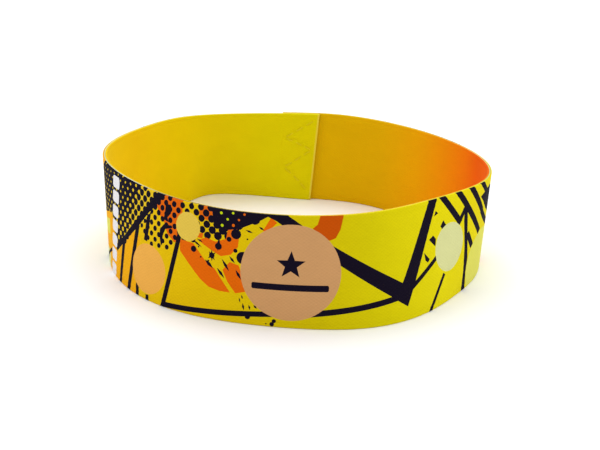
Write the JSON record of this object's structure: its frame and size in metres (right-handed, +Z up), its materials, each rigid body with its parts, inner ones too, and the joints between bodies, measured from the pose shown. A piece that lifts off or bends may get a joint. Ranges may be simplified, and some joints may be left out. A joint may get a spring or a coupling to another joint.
{
  "type": "elastic fabric wristband",
  "caption": "Flat elastic fabric wristband standing on its edge: a loop of printed stretch tape closed by a zigzag-stitched lap, yellow and orange inside.",
  "frame": {"origin": "on the surface that the band stands on, under the middle of the loop", "axes": "+Z up the width of the tape, +Y towards the stitched lap, +X to the right seen from the front"},
  "size_m": [0.0562, 0.0535, 0.015],
  "materials": {
    "printed_cloth": "sublimation-printed satin weave",
    "plain_cloth": "plain dyed satin weave",
    "selvedge": "undyed polyester yarn",
    "elastic": "matte cut rubber thread",
    "sewing_thread": "matte polyester thread"
  },
  "bodies": {
    "root": {"outer_face_cloth": "printed_cloth", "inner_face_cloth": "plain_cloth", "lower_selvedge_cord": "selvedge", "upper_selvedge_cord": "selvedge", "elastic_thread_01": "elastic", "elastic_thread_02": "elastic", "elastic_thread_03": "elastic", "elastic_thread_04": "elastic", "elastic_thread_05": "elastic", "elastic_thread_06": "elastic", "elastic_thread_07": "elastic", "elastic_thread_08": "elastic", "elastic_thread_09": "elastic", "elastic_thread_10": "elastic", "elastic_thread_11": "elastic", "elastic_thread_12": "elastic", "elastic_thread_13": "elastic", "elastic_thread_14": "elastic", "seam_needle_thread": "sewing_thread", "seam_bobbin_thread": "sewing_thread"}
  },
  "joints": []
}
